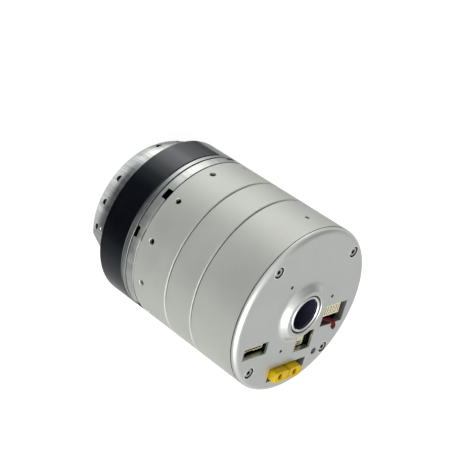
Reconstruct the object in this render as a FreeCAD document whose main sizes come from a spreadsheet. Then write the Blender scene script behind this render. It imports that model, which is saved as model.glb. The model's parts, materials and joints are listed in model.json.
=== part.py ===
import FreeCAD, Part
import Sketcher
import math
import os
from FreeCAD import Vector, Placement, Rotation

# Hollow-shaft robot joint actuator: strain-wave gear, frameless motor, holding brake,
# two encoders and a driver in one barrel.
# +Z runs along the joint axis from the output flange to the rear cap; z = 0 is the
# outer face of the output flange; +X is the long direction of the connector windows
# and the power connector lies towards -Y.  Millimetres throughout.

doc = FreeCAD.newDocument("JointActuator")
sheet = doc.addObject("Spreadsheet::Sheet", "dims")

DIMS = (
    # barrel
    ("body_radius", 30.0), ("wall_bore", 27.0), ("rear_bore", 27.6),
    ("seam_spline", 27.7), ("seam_middle", 43.5), ("seam_rear", 55.6), ("seam_cap", 74.0),
    ("groove_chamfer", 0.45), ("groove_land", 0.18), ("spigot_radius", 28.3), ("spigot_length", 1.5),
    ("seat_radius", 14.5), ("seat_lip", 13.4), ("race_width", 3.8),
    ("front_web", 28.9), ("front_web_end", 34.2), ("front_race", 29.7),
    ("middle_web", 46.5), ("middle_race", 46.5), ("middle_web_end", 51.0), ("brake_bore", 26.5),
    ("side_hole_z", 31.9), ("side_hole_radius", 1.0), ("side_hole_depth", 2.1),
    ("pin_hole_z", 67.1), ("pin_hole_radius", 0.6),
    # rear cap
    ("cap_face", 76.0), ("cap_edge", 1.8), ("hub_face", 78.0), ("hub_bore", 7.0), ("hub_land", 8.5),
    ("cap_screw_pitch", 18.55), ("cap_screw_clear", 1.12), ("cap_head_recess", 2.0), ("cap_head_depth", 1.4),
    ("dimple_ring", 14.75), ("dimple_radius", 0.62), ("dimple_depth", 0.9),
    ("light_x", 13.9), ("light_y", 18.9), ("light_hole", 1.27),
    ("bus_left", 24.3), ("bus_right", 12.9), ("bus_top", 7.9), ("bus_bottom", 12.5),
    ("aux_left", 2.1), ("aux_right", 10.4), ("aux_top", 9.1), ("aux_bottom", 16.35),
    ("opt_left", 12.9), ("opt_right", 24.4), ("opt_top", 1.2), ("opt_bottom", 9.1),
    ("pwr_left", 7.95), ("pwr_right", 10.0), ("pwr_top", 20.05), ("pwr_bottom", 25.4),
    # output side
    ("flange_radius", 27.45), ("flange_face_radius", 24.45), ("flange_round_start", 7.4),
    ("flange_back", 10.1), ("flange_round", 10.65), ("flange_boss", 13.0), ("flange_boss_top", 11.5),
    ("flange_hole_z", 4.4), ("flange_hole_radius", 1.0), ("flange_flat", 23.0), ("flange_rim", 8.7),
    ("bolt_ring", 20.0), ("bolt_core", 1.25), ("bolt_depth", 7.0), ("dowel_ring", 16.0),
    ("ring_start", 10.4), ("band_end", 21.95), ("thin_end", 23.7), ("spline_start", 24.0),
    ("band_radius", 30.1), ("band_seat", 29.1), ("race_seat", 25.4),
    ("shaft_radius", 6.5), ("shaft_bore", 5.6), ("shaft_end", 77.8), ("shaft_start", 2.0),
    ("notch_width", 3.8), ("notch_floor", 28.0), ("notch_deep", 2.2), ("notch_shallow", 1.4),
    # gear
    ("flex_radius", 16.0), ("flex_inner", 15.55), ("flex_end", 28.2), ("flex_teeth", 100), ("spline_teeth", 102),
    # motor
    ("rotor_tube_bore", 7.2), ("rotor_tube", 9.4), ("rotor_tube_start", 23.6), ("rotor_tube_end", 63.6),
    ("stack_start", 35.6), ("stack_end", 42.6), ("stator_outer", 26.95), ("stator_inner", 17.0),
    # electronics
    ("encoder_board_z", 64.6), ("driver_board_z", 68.5), ("board_thickness", 1.1), ("board_radius", 26.9),
)
for row, (alias, value) in enumerate(DIMS, 1):
    sheet.set("A%d" % row, alias)
    sheet.set("B%d" % row, str(value))
    sheet.setAlias("B%d" % row, alias)
doc.recompute()


class Size:
    """A length that carries its number and the sheet formula it comes from."""

    def __init__(self, value, text):
        self.value, self.text = float(value), text

    def _mix(self, other, sign, flip=False):
        a, b = self, size(other)
        if flip:
            a, b = b, a
        value = {"+": a.value + b.value, "-": a.value - b.value, "*": a.value * b.value}[sign]
        return Size(value, "(%s %s %s)" % (a.text, sign, b.text))

    def __add__(self, other):
        return self._mix(other, "+")

    def __radd__(self, other):
        return self._mix(other, "+", True)

    def __sub__(self, other):
        return self._mix(other, "-")

    def __rsub__(self, other):
        return self._mix(other, "-", True)

    def __mul__(self, other):
        return self._mix(other, "*")

    def __rmul__(self, other):
        return self._mix(other, "*", True)

    def __neg__(self):
        return self._mix(-1, "*")


def size(thing):
    if isinstance(thing, Size):
        return thing
    return Size(thing, "%.6f" % float(thing) if thing >= 0 else "(-%.6f)" % abs(float(thing)))


def D(alias):
    return Size(float(sheet.get(alias)), "dims." + alias)


def V(alias):
    return float(sheet.get(alias))


def bind(obj, prop, amount):
    amount = size(amount)
    obj.setExpression(prop, amount.text)


def plane(body, role):
    return [o for o in body.Origin.OriginFeatures if o.Role == role][0]


def new_body(name):
    body = doc.addObject("PartDesign::Body", name)
    body.Label = name
    return body


def new_sketch(body, name, role, lift=None, turn=0.0):
    sk = body.newObject("Sketcher::SketchObject", name)
    sk.AttachmentSupport = [(plane(body, role), "")]
    sk.MapMode = "FlatFace"
    if role == "XZ_Plane":
        sk.AttachmentOffset = Placement(Vector(0, 0, 0), Rotation(Vector(0, 1, 0), turn))
    else:
        sk.AttachmentOffset = Placement(Vector(0, 0, size(lift or 0).value), Rotation(Vector(0, 0, 1), turn))
        if lift is not None:
            sk.setExpression("AttachmentOffset.Base.z", size(lift).text)
    return sk


def tie(sk, geo, pos, x, y):
    """Fixes a point of the sketch at (x, y) from the sketch's origin."""
    for kind, amount, axis in (("DistanceX", size(x), -2), ("DistanceY", size(y), -1)):
        if abs(amount.value) < 1e-9:
            sk.addConstraint(Sketcher.Constraint("PointOnObject", geo, pos, axis))
        else:
            at = sk.addConstraint(Sketcher.Constraint(kind, -1, 1, geo, pos, amount.value))
            sk.setExpression("Constraints[%d]" % at, amount.text)


def outline(sk, points):
    """A closed outline.  A point is (x, y) or (x, y, radius): with a radius the side that
    leaves the point is an arc, positive when its centre lies to the left of the way."""
    n = len(points)
    xy = [(size(p[0]), size(p[1])) for p in points]
    ends = []
    for i in range(n):
        ax, ay = xy[i][0].value, xy[i][1].value
        bx, by = xy[(i + 1) % n][0].value, xy[(i + 1) % n][1].value
        if len(points[i]) == 2:
            geo = sk.addGeometry(Part.LineSegment(Vector(ax, ay, 0), Vector(bx, by, 0)), False)
            ends.append((geo, 1, 2))
            continue
        radius = size(points[i][2]).value
        r = abs(radius)
        mx, my, dx, dy = (ax + bx) / 2, (ay + by) / 2, bx - ax, by - ay
        half = math.hypot(dx, dy) / 2
        away = math.sqrt(max(r * r - half * half, 0.0)) * (1 if radius > 0 else -1)
        cx, cy = mx - dy / (2 * half) * away, my + dx / (2 * half) * away
        a0, a1 = math.atan2(ay - cy, ax - cx), math.atan2(by - cy, bx - cx)
        if radius < 0:
            a0, a1 = a1, a0
        if a1 < a0:
            a1 += 2 * math.pi
        geo = sk.addGeometry(Part.ArcOfCircle(Part.Circle(Vector(cx, cy, 0), Vector(0, 0, 1), r), a0, a1), False)
        at = sk.addConstraint(Sketcher.Constraint("Radius", geo, r))
        sk.setExpression("Constraints[%d]" % at, ("abs(%s)" % size(points[i][2]).text))
        ends.append((geo, 1, 2) if radius > 0 else (geo, 2, 1))
    for i in range(n):
        geo, _, last = ends[i]
        nxt, first, _ = ends[(i + 1) % n]
        sk.addConstraint(Sketcher.Constraint("Coincident", geo, last, nxt, first))
    for i in range(n):
        tie(sk, ends[i][0], ends[i][1], xy[i][0], xy[i][1])


def circles(sk, rows):
    for x, y, r in rows:
        x, y, r = size(x), size(y), size(r)
        geo = sk.addGeometry(Part.Circle(Vector(x.value, y.value, 0), Vector(0, 0, 1), r.value), False)
        at = sk.addConstraint(Sketcher.Constraint("Radius", geo, r.value))
        sk.setExpression("Constraints[%d]" % at, r.text)
        if abs(x.value) < 1e-9 and abs(y.value) < 1e-9:
            sk.addConstraint(Sketcher.Constraint("Coincident", geo, 3, -1, 1))
        else:
            tie(sk, geo, 3, x, y)


def turned(name, points):
    """A lathe-turned body: the outline is (radius, z)."""
    body = new_body(name)
    sk = new_sketch(body, name + "_section", "XZ_Plane")
    outline(sk, points)
    rev = body.newObject("PartDesign::Revolution", name + "_turning")
    rev.Profile = sk
    rev.ReferenceAxis = (sk, ["V_Axis"])
    rev.Angle = 360
    body.Tip = rev
    doc.recompute()
    return body


def cut_check(body, feature, before):
    doc.recompute()
    after = body.Shape.Volume
    if not (after < before - 1e-4):
        raise RuntimeError("%s: %s removed nothing (%.3f, %.3f)" % (body.Label, feature.Name, before, after))


def pocket(body, name, draw, lift=None, depth=None, turn=0.0, up=False):
    """A pocket from the XY plane lifted to lift: down by depth, up if asked, or right through."""
    doc.recompute()
    before = body.Shape.Volume
    sk = new_sketch(body, name + "_sketch", "XY_Plane", lift, turn)
    draw(sk)
    cut = body.newObject("PartDesign::Pocket", name)
    cut.Profile = sk
    if depth is None:
        cut.Type = 1
        cut.Midplane = True
    else:
        cut.Type = 0
        bind(cut, "Length", depth)
        cut.Reversed = bool(up)
    body.Tip = cut
    cut_check(body, cut, before)
    return cut


def spread(body, name, features, count):
    before = body.Shape.Volume
    fan = body.newObject("PartDesign::PolarPattern", name)
    fan.Originals = list(features)
    fan.Axis = (plane(body, "Z_Axis"), [""])
    fan.Angle = 360
    fan.Occurrences = count
    body.Tip = fan
    cut_check(body, fan, before)
    return fan


def radial_hole(body, name, z, outer, radius, depth, turn, cone=0.5):
    """A drilled radial hole with a countersunk mouth and a conical floor, along the sketch's X, turned by turn degrees."""
    doc.recompute()
    before = body.Shape.Volume
    sk = new_sketch(body, name + "_sketch", "XZ_Plane", turn=turn)
    z, outer, radius, depth = size(z), size(outer), size(radius), size(depth)
    floor = outer - depth
    sink = 0.2
    outline(sk, [(outer + 0.2, z), (outer + 0.2, z + radius + 2 * sink), (outer - sink, z + radius), (floor, z + radius), (floor - cone, z)])
    axis = sk.addGeometry(Part.LineSegment(Vector(0, z.value, 0), Vector(5, z.value, 0)), True)
    sk.addConstraint(Sketcher.Constraint("Horizontal", axis))
    tie(sk, axis, 1, 0, z)
    at = sk.addConstraint(Sketcher.Constraint("DistanceX", axis, 1, axis, 2, 5.0))
    drill = body.newObject("PartDesign::Groove", name)
    drill.Profile = sk
    drill.ReferenceAxis = (sk, ["Axis0"])
    drill.Angle = 360
    body.Tip = drill
    cut_check(body, drill, before)
    return drill


def rect(x0, y0, x1, y1):
    return lambda sk: outline(sk, [(x0, y0), (x1, y0), (x1, y1), (x0, y1)])


def polar(radius, degrees):
    a = math.radians(degrees)
    return Vector(radius * math.cos(a), radius * math.sin(a), 0)


def feature(name, shape):
    obj = doc.addObject("Part::Feature", name)
    obj.Label = name
    obj.Shape = shape
    obj.Placement = Placement()
    return obj


def cyl(r, z0, z1, x=0.0, y=0.0):
    return Part.makeCylinder(r, z1 - z0, Vector(x, y, z0))


def tube(r0, r1, z0, z1, x=0.0, y=0.0):
    return cyl(r1, z0, z1, x, y).cut(cyl(r0, z0 - 1, z1 + 1, x, y))


def block(x0, y0, z0, x1, y1, z1):
    return Part.makeBox(x1 - x0, y1 - y0, z1 - z0, Vector(x0, y0, z0))


def cap_head_screw(r, head_r, head_h, key, z_seat, length, x, y, up=True):
    """A socket-head screw, head upwards from z_seat, shank the other way (or mirrored)."""
    s = 1 if up else -1
    head = cyl(head_r, min(z_seat, z_seat + s * head_h), max(z_seat, z_seat + s * head_h), x, y)
    head = head.makeChamfer(0.18, [e for e in head.Edges if abs(e.CenterOfMass.z - (z_seat + s * head_h)) < 1e-6
                                   and isinstance(e.Curve, Part.Circle)])
    hexagon = [Vector(x + key / math.sqrt(3) * math.cos(math.radians(60 * i)),
                      y + key / math.sqrt(3) * math.sin(math.radians(60 * i)), 0) for i in range(7)]
    prism = Part.Face(Part.makePolygon(hexagon)).extrude(Vector(0, 0, 0.62 * head_h))
    prism.translate(Vector(0, 0, z_seat + (0.38 * head_h if up else -head_h)))
    shank = cyl(r, min(z_seat, z_seat - s * length), max(z_seat, z_seat - s * length), x, y)
    return head.cut(prism).fuse(shank).removeSplitter()


# ------------------------------------------------------------------ housing
R = D("body_radius")
ch, land = D("groove_chamfer"), D("groove_land")
lip = D("spigot_radius")
sl = D("spigot_length")

# Front section: motor barrel with the front bearing web.
front = turned("front_housing", [
    (17.6, D("seam_spline")), (R - 0.25, D("seam_spline")), (R, D("seam_spline") + 0.25),
    (R, D("seam_middle") - ch), (R - ch, D("seam_middle") - land), (lip, D("seam_middle") - land),
    (lip, D("seam_middle") + sl), (D("wall_bore"), D("seam_middle") + sl), (D("wall_bore"), D("front_web_end")),
    (D("seat_radius"), D("front_web_end")), (D("seat_radius"), D("front_race")), (D("seat_lip"), D("front_race")),
    (D("seat_lip"), D("front_web")), (17.6, D("front_web"))])
side = radial_hole(front, "side_hole", D("side_hole_z"), R, D("side_hole_radius"), D("side_hole_depth"), 15.0, 0.55)
spread(front, "side_holes", [side], 12)
tap = pocket(front, "long_screw_tap", lambda sk: circles(sk, [(27.2, 0, 0.85)]), D("seam_spline"), 5.0, 22.5, up=True)
spread(front, "long_screw_taps", [tap], 8)

# Middle section: rear bearing web and brake chamber.
middle = turned("middle_housing", [
    (lip + 0.1, D("seam_middle")), (R - ch, D("seam_middle")), (R, D("seam_middle") + ch), (R, D("seam_rear") - ch),
    (R - ch, D("seam_rear") - land), (lip, D("seam_rear") - land), (lip, D("seam_rear") + sl),
    (D("brake_bore"), D("seam_rear") + sl), (D("brake_bore"), D("middle_web_end")), (D("seat_lip"), D("middle_web_end")),
    (D("seat_lip"), D("middle_race") + D("race_width")), (D("seat_radius"), D("middle_race") + D("race_width")),
    (D("seat_radius"), D("middle_web")), (D("wall_bore"), D("middle_web")), (D("wall_bore"), D("seam_middle") + sl + 0.15),
    (lip + 0.1, D("seam_middle") + sl + 0.15)])

# Rear section: electronics barrel, board lugs and cap bosses.
rear = turned("rear_housing", [
    (lip + 0.1, D("seam_rear")), (R - ch, D("seam_rear")), (R, D("seam_rear") + ch), (R, D("seam_cap")),
    (D("rear_bore"), D("seam_cap")), (D("rear_bore"), D("seam_rear") + sl + 0.15), (lip + 0.1, D("seam_rear") + sl + 0.15)])


def rear_lug(turn, name):
    sk = new_sketch(rear, name + "_sketch", "XY_Plane", 61.9, turn)
    outline(sk, [(20.6, -2.4), (D("rear_bore") + 0.6, -2.4), (D("rear_bore") + 0.6, 2.4), (20.6, 2.4)])
    pad = rear.newObject("PartDesign::Pad", name)
    pad.Profile = sk
    bind(pad, "Length", D("encoder_board_z") - 61.9)
    rear.Tip = pad
    doc.recompute()
    return pad


lug = rear_lug(55.0, "board_lug")
fan = rear.newObject("PartDesign::PolarPattern", "board_lugs")
fan.Originals = [lug]
fan.Axis = (plane(rear, "Z_Axis"), [""])
fan.Angle = 360
fan.Occurrences = 3
rear.Tip = fan
doc.recompute()
sk = new_sketch(rear, "cap_boss_sketch", "XY_Plane", 66.0, 45.0)
outline(sk, [(23.9, -2.3), (D("rear_bore") + 0.6, -2.3), (D("rear_bore") + 0.6, 2.3), (23.9, 2.3)])
boss = rear.newObject("PartDesign::Pad", "cap_boss")
boss.Profile = sk
bind(boss, "Length", D("seam_cap") - 0.85 - 66.0)
rear.Tip = boss
doc.recompute()
fan = rear.newObject("PartDesign::PolarPattern", "cap_bosses")
fan.Originals = [boss]
fan.Axis = (plane(rear, "Z_Axis"), [""])
fan.Angle = 360
fan.Occurrences = 4
rear.Tip = fan
doc.recompute()
cs = D("cap_screw_pitch")
pocket(rear, "cap_screw_taps", lambda sk: circles(sk, [(cs, cs, 1.03), (-cs, cs, 1.03), (-cs, -cs, 1.03), (cs, -cs, 1.03)]),
       D("seam_cap"), 6.6)
t0 = pocket(rear, "board_tap", lambda sk: circles(sk, [(22.6, 0, 0.95)]), D("encoder_board_z"), 2.2, 55.0)
spread(rear, "board_taps", [t0], 3)
radial_hole(rear, "pin_hole", D("pin_hole_z"), R, D("pin_hole_radius"), 0.7, 90.0, 0.3)

# Rear cap: turned lid with a raised hub round the cable bore, and the connector windows.
top, hub, face = D("cap_face"), D("hub_face"), D("cap_face")
t20, c40, s40 = math.tan(math.radians(20)), math.cos(math.radians(40)), math.sin(math.radians(40))
foot = D("hub_land") + (hub - face) * (1 / math.tan(math.radians(40)))
cap = turned("rear_cap", [
    (D("hub_bore"), D("seam_cap")), (25.9, D("seam_cap")), (25.9, D("seam_cap") - 0.8), (27.5, D("seam_cap") - 0.8),
    (27.5, D("seam_cap")), (R - 0.12, D("seam_cap")), (R, D("seam_cap") + 0.12), (R, top - D("cap_edge"), D("cap_edge")),
    (R - D("cap_edge"), top), (foot + 2.0 * t20, top, Size(-2.0, "(-2.0)")),
    (foot - 2.0 * t20 * c40, top + 2.0 * t20 * s40),
    (D("hub_land") + 0.8 * t20 * c40, hub - 0.8 * t20 * s40, 0.8), (D("hub_land") - 0.8 * t20, hub),
    (D("hub_bore") + 0.2, hub), (D("hub_bore"), hub - 0.2)])
pocket(cap, "bus_window", rect(-D("bus_left"), -D("bus_bottom"), -D("bus_right"), -D("bus_top")))
pocket(cap, "aux_window", rect(D("aux_left"), -D("aux_bottom"), D("aux_right"), -D("aux_top")))
pocket(cap, "option_window", rect(D("opt_left"), -D("opt_bottom"), D("opt_right"), -D("opt_top")))
pocket(cap, "power_window", rect(-D("pwr_left"), -D("pwr_bottom"), D("pwr_right"), -D("pwr_top")))
pocket(cap, "light_hole", lambda sk: circles(sk, [(D("light_x"), -D("light_y"), D("light_hole"))]))
clear = pocket(cap, "screw_clearance", lambda sk: circles(sk, [(cs, cs, D("cap_screw_clear"))]))
recess = pocket(cap, "screw_recess", lambda sk: circles(sk, [(cs, cs, D("cap_head_recess"))]), top, D("cap_head_depth"))
spread(cap, "screw_places", [clear, recess], 4)
dim = pocket(cap, "dimple", lambda sk: circles(sk, [(D("dimple_ring"), 0, D("dimple_radius"))]), top, D("dimple_depth"), 10.3)
spread(cap, "dimples", [dim], 3)

feature("cap_screws", Part.makeCompound([
    cap_head_screw(1.0, 1.62, 1.1, 1.4, V("cap_face") - V("cap_head_depth"), 6.4, sx * V("cap_screw_pitch"), sy * V("cap_screw_pitch"))
    for sx, sy in ((1, 1), (-1, 1), (-1, -1), (1, -1))]))

# ------------------------------------------------------------------ output end, fixed rings
# Circular spline: the brushed ring between the barrel and the output bearing, internal teeth,
# four pry notches on each side.
teeth = int(V("spline_teeth"))
pts = []
for i in range(teeth):
    a = 360.0 * i / teeth
    w = 360.0 / teeth
    pts += [polar(17.45, a - 0.30 * w), polar(16.9, a - 0.12 * w), polar(16.9, a + 0.12 * w), polar(17.45, a + 0.30 * w)]
pts.append(pts[0])
spline = turned("circular_spline", [
    (16.4, D("spline_start")), (R - 0.2, D("spline_start")), (R, D("spline_start") + 0.2), (R, D("seam_spline") - 0.3),
    (R - 0.3, D("seam_spline")), (16.4, D("seam_spline"))])


def tooth_ring(sk):
    n = len(pts) - 1
    geos = [Part.LineSegment(pts[i], pts[i + 1]) for i in range(n)]
    sk.addGeometry(geos, False)
    sk.addConstraint([Sketcher.Constraint("Coincident", i, 2, (i + 1) % n, 1) for i in range(n)])
    sk.addConstraint([Sketcher.Constraint("Block", i) for i in range(n)])


pocket(spline, "tooth_space", tooth_ring)
nw = D("notch_width")
deep = pocket(spline, "deep_notch", rect(D("notch_floor"), nw * -0.5, R + 1.0, nw * 0.5), D("seam_spline"), D("notch_deep"), 45.0)
spread(spline, "deep_notches", [deep], 4)
shallow = pocket(spline, "shallow_notch", rect(D("notch_floor"), nw * -0.5, R + 1.0, nw * 0.5), D("spline_start"),
                 D("notch_shallow"), 75.0, up=True)
spread(spline, "shallow_notches", [shallow], 4)
through = pocket(spline, "long_screw_hole", lambda sk: circles(sk, [(27.2, 0, 0.9)]), turn=22.5)
spread(spline, "long_screw_holes", [through], 8)

# Thin clamp ring that holds the crossed-roller bearing in its seat.
clamp = turned("bearing_clamp_ring", [
    (22.6, D("band_end")), (R - 0.2, D("band_end")), (R, D("band_end") + 0.2), (R, D("thin_end") - 0.2), (R - 0.2, D("thin_end")),
    (R - 0.7, D("thin_end")), (R - 0.7, D("spline_start")), (22.6, D("spline_start"))])
through = pocket(clamp, "clamp_screw_hole", lambda sk: circles(sk, [(27.2, 0, 0.9)]), turn=22.5)
spread(clamp, "clamp_screw_holes", [through], 8)

# Bearing housing: full-radius land over a narrow sector, seat for the black band over the rest.
shell = turned("bearing_housing", [
    (D("race_seat"), D("ring_start")), (R - 0.2, D("ring_start")), (R, D("ring_start") + 0.2), (R, D("band_end")),
    (D("race_seat"), D("band_end"))])


def band_seat(sk):
    a0, a1 = math.radians(79.8), math.radians(39.6 + 360)
    r0, r1 = V("band_seat"), 32.0
    g = [sk.addGeometry(Part.ArcOfCircle(Part.Circle(Vector(0, 0, 0), Vector(0, 0, 1), r0), a0, a1), False),
         sk.addGeometry(Part.ArcOfCircle(Part.Circle(Vector(0, 0, 0), Vector(0, 0, 1), r1), a0, a1), False)]
    for k in (1, 2):
        a = (a0, a1)[k - 1]
        line = sk.addGeometry(Part.LineSegment(Vector(r0 * math.cos(a), r0 * math.sin(a), 0),
                                               Vector(r1 * math.cos(a), r1 * math.sin(a), 0)), False)
        sk.addConstraint(Sketcher.Constraint("Coincident", line, 1, g[0], k))
        sk.addConstraint(Sketcher.Constraint("Coincident", line, 2, g[1], k))
    sk.addConstraint(Sketcher.Constraint("Coincident", g[0], 3, -1, 1))
    sk.addConstraint(Sketcher.Constraint("Coincident", g[1], 3, -1, 1))
    at = sk.addConstraint(Sketcher.Constraint("Radius", g[0], r0))
    sk.setExpression("Constraints[%d]" % at, "dims.band_seat")


pocket(shell, "band_recess", band_seat)
hole = pocket(shell, "shell_screw_hole", lambda sk: circles(sk, [(27.2, 0, 0.9)]), turn=22.5)
sink = pocket(shell, "shell_screw_sink", lambda sk: circles(sk, [(27.2, 0, 1.55)]), D("ring_start"), 1.9, 22.5, up=True)
spread(shell, "shell_screw_holes", [hole, sink], 8)

# Black band: open ring wrapped round the bearing housing.
band = turned("black_band", [
    (D("band_seat"), D("ring_start")), (D("band_radius") - 0.25, D("ring_start")), (D("band_radius"), D("ring_start") + 0.25),
    (D("band_radius"), D("band_end") - 0.35), (D("band_radius") - 0.25, D("band_end") - 0.1), (D("band_seat"), D("band_end") - 0.1)])


def band_gap(sk):
    a0, a1 = math.radians(39.2), math.radians(80.1)
    outline(sk, [(15 * math.cos(a0), 15 * math.sin(a0)), (60 * math.cos(a0), 60 * math.sin(a0)),
                 (60 * math.cos(a1), 60 * math.sin(a1)), (15 * math.cos(a1), 15 * math.sin(a1))])


pocket(band, "band_opening", band_gap)

feature("long_screws", Part.makeCompound([
    cap_head_screw(0.8, 1.42, 1.6, 1.3, V("ring_start") + 1.85, 20.2, *tuple(polar(27.2, 22.5 + 45 * k))[:2], up=False) for k in range(8)]))

# Crossed-roller bearing: split outer ring, inner ring, rollers set alternately at +/-45 degrees.
rc, zc, s = 22.0, 16.0, 2.46
v = s / math.sqrt(2)
turned("bearing_outer_ring_front", [(22.3, 12.0), (D("race_seat"), 12.0), (D("race_seat"), zc), (rc + v, zc), (22.3, zc - (v - 0.3))])
turned("bearing_outer_ring_rear", [(rc + v, zc), (D("race_seat"), zc), (D("race_seat"), D("band_end")), (22.3, D("band_end")),
                                   (22.3, zc + (v - 0.3))])
inner = turned("bearing_inner_ring", [
    (17.0, D("flange_back")), (21.7, D("flange_back")), (21.7, zc - (v - 0.3)), (rc - v, zc), (21.7, zc + (v - 0.3)),
    (21.7, 21.2), (17.0, 21.2)])
hole = pocket(inner, "ring_screw_hole", lambda sk: circles(sk, [(18.6, 0, 1.08)]), turn=22.5)
spread(inner, "ring_screw_holes", [hole], 8)
feature("bearing_inner_screws", Part.makeCompound([
    cap_head_screw(1.0, 1.5, 1.3, 1.4, 21.2, 14.6, *tuple(polar(18.6, 22.5 + 45 * k))[:2]) for k in range(8)]))
rollers = []
for k in range(36):
    body_ = Part.makeCylinder(1.2, 2.3, Vector(0, 0, -1.15))
    body_ = body_.makeChamfer(0.12, [e for e in body_.Edges if isinstance(e.Curve, Part.Circle)])
    body_.Placement = Placement(Vector(0, 0, 0), Rotation(Vector(0, 1, 0), 45 if k % 2 else -45))
    body_ = body_.copy()
    moved = body_.transformed(Placement(Vector(rc, 0, zc), Rotation()).toMatrix())
    rollers.append(moved.transformed(Placement(Vector(0, 0, 0), Rotation(Vector(0, 0, 1), 10.0 * k)).toMatrix()))
feature("crossed_rollers", Part.makeCompound(rollers))
turned("output_seal", [(21.8, 10.6), (23.0, 10.55), (D("race_seat"), 10.55), (D("race_seat"), 11.9), (22.6, 11.9), (22.3, 11.2), (21.8, 11.4)])

# ------------------------------------------------------------------ output body
flange = turned("output_flange", [
    (D("shaft_radius"), 0.4), (D("shaft_radius") + 0.4, 0), (D("flange_face_radius"), 0, D("flange_round")),
    (D("flange_radius"), D("flange_round_start")), (D("flange_radius"), D("flange_back") - 0.2),
    (D("flange_radius") - 0.2, D("flange_back")), (D("flange_boss"), D("flange_back")),
    (D("flange_boss"), D("flange_boss_top")), (D("shaft_radius"), D("flange_boss_top"))])
b0 = pocket(flange, "output_bolt", lambda sk: circles(sk, [(D("bolt_ring"), 0, D("bolt_core"))]), 0.0, D("bolt_depth"), up=True)
spread(flange, "output_bolts", [b0], 8)
pocket(flange, "dowel_holes", lambda sk: circles(sk, [(D("dowel_ring"), 0, 1.5), (-D("dowel_ring"), 0, 1.5)]), 0.0, 4.5, 22.5, up=True)
b1 = pocket(flange, "ring_tap", lambda sk: circles(sk, [(18.6, 0, 1.03)]), D("flange_back"), 3.7, 22.5)
spread(flange, "ring_taps", [b1], 8)
b2 = pocket(flange, "cup_tap", lambda sk: circles(sk, [(9.8, 0, 1.03)]), D("flange_boss_top"), 5.0)
spread(flange, "cup_taps", [b2], 8)


def flat_side(sk):
    outline(sk, [(D("flange_flat"), -25.0), (40.0, -25.0), (40.0, 25.0), (D("flange_flat"), 25.0)])


pocket(flange, "clocking_flat", flat_side, -1.0, D("flange_rim") + 1.0, 217.3, up=True)
HOLES = [3.5 + 20.0 * k for k in (1, 2, 3, 4, 5, 7, 8, 9, 13, 14, 15, 16, 17)]
for n, angle in enumerate(HOLES):
    radial_hole(flange, "flange_hole_%02d" % n, D("flange_hole_z"), 27.0, D("flange_hole_radius"), 3.4, angle, 0.5)
radial_hole(flange, "flange_pin_hole", 7.2, 27.4, 0.45, 1.2, 182.4, 0.3)


def grub(angle):
    """Socket set screw lying along the radius, sunk below the rim."""
    r, length, key = V("flange_hole_radius") - 0.04, 2.2, 0.9
    bodyg = Part.makeCylinder(r, length, Vector(0, 0, 0))
    bodyg = bodyg.makeChamfer(0.15, [e for e in bodyg.Edges if isinstance(e.Curve, Part.Circle)])
    hexagon = [Vector(key / math.sqrt(3) * math.cos(math.radians(60 * i)), key / math.sqrt(3) * math.sin(math.radians(60 * i)), length - 0.9)
               for i in range(7)]
    bodyg = bodyg.cut(Part.Face(Part.makePolygon(hexagon)).extrude(Vector(0, 0, 2)))
    lay = Placement(Vector(23.75, 0, V("flange_hole_z")), Rotation(Vector(0, 1, 0), 90))
    turn = Placement(Vector(0, 0, 0), Rotation(Vector(0, 0, 1), angle))
    return bodyg.transformed(turn.multiply(lay).toMatrix())


feature("flange_set_screws", Part.makeCompound([grub(a) for a in HOLES]))

tube_body = turned("hollow_shaft", [
    (D("shaft_bore"), D("shaft_start")), (D("shaft_radius"), D("shaft_start")), (D("shaft_radius"), D("shaft_end") - 0.2),
    (D("shaft_radius") - 0.2, D("shaft_end")), (D("shaft_bore") + 0.25, D("shaft_end")), (D("shaft_bore"), D("shaft_end") - 0.25)])

# Flexspline: thin-walled cup with external teeth at its open end.
n = int(V("flex_teeth"))
star = []
for i in range(n):
    a, w = 360.0 * i / n, 360.0 / n
    star += [polar(15.98, a - 0.42 * w), polar(16.5, a - 0.14 * w), polar(16.5, a + 0.14 * w), polar(15.98, a + 0.42 * w)]
star.append(star[0])
toothed = Part.Face(Part.makePolygon(star)).extrude(Vector(0, 0, 4.6))
toothed.translate(Vector(0, 0, 23.4))
toothed = toothed.cut(cyl(V("flex_inner"), 20, 30))
cup = tube(V("flex_inner"), V("flex_radius"), V("flange_boss_top"), V("flex_end"))
cup = cup.fuse(tube(6.9, V("flex_radius"), V("flange_boss_top"), 12.15)).fuse(tube(6.9, 12.6, 12.0, 13.0))
cup = cup.fuse(toothed)
for k in range(8):
    p = polar(9.8, 45 * k)
    cup = cup.cut(cyl(1.05, 10, 15, p.x, p.y))
feature("flexspline", cup.removeSplitter())
plate = turned("flexspline_clamp_plate", [(6.9, 13.0), (12.4, 13.0), (12.4, 14.0), (12.1, 14.3), (6.9, 14.3)])
h0 = pocket(plate, "plate_hole", lambda sk: circles(sk, [(9.8, 0, 1.08)]))
spread(plate, "plate_holes", [h0], 8)
feature("flexspline_screws", Part.makeCompound([
    cap_head_screw(1.0, 1.75, 1.5, 1.5, 14.3, 7.4, *tuple(polar(9.8, 45 * k))[:2]) for k in range(8)]))

# ------------------------------------------------------------------ rotor body
turned("rotor_tube", [
    (D("rotor_tube_bore"), D("rotor_tube_start")), (D("rotor_tube"), D("rotor_tube_start")), (D("rotor_tube"), D("rotor_tube_end")),
    (D("rotor_tube_bore"), D("rotor_tube_end"))])
turned("wave_generator_cam", [(D("rotor_tube"), 24.0), (11.6, 24.0), (11.6, 27.5), (10.6, 27.5), (10.6, 28.2), (D("rotor_tube"), 28.2)])


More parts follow.
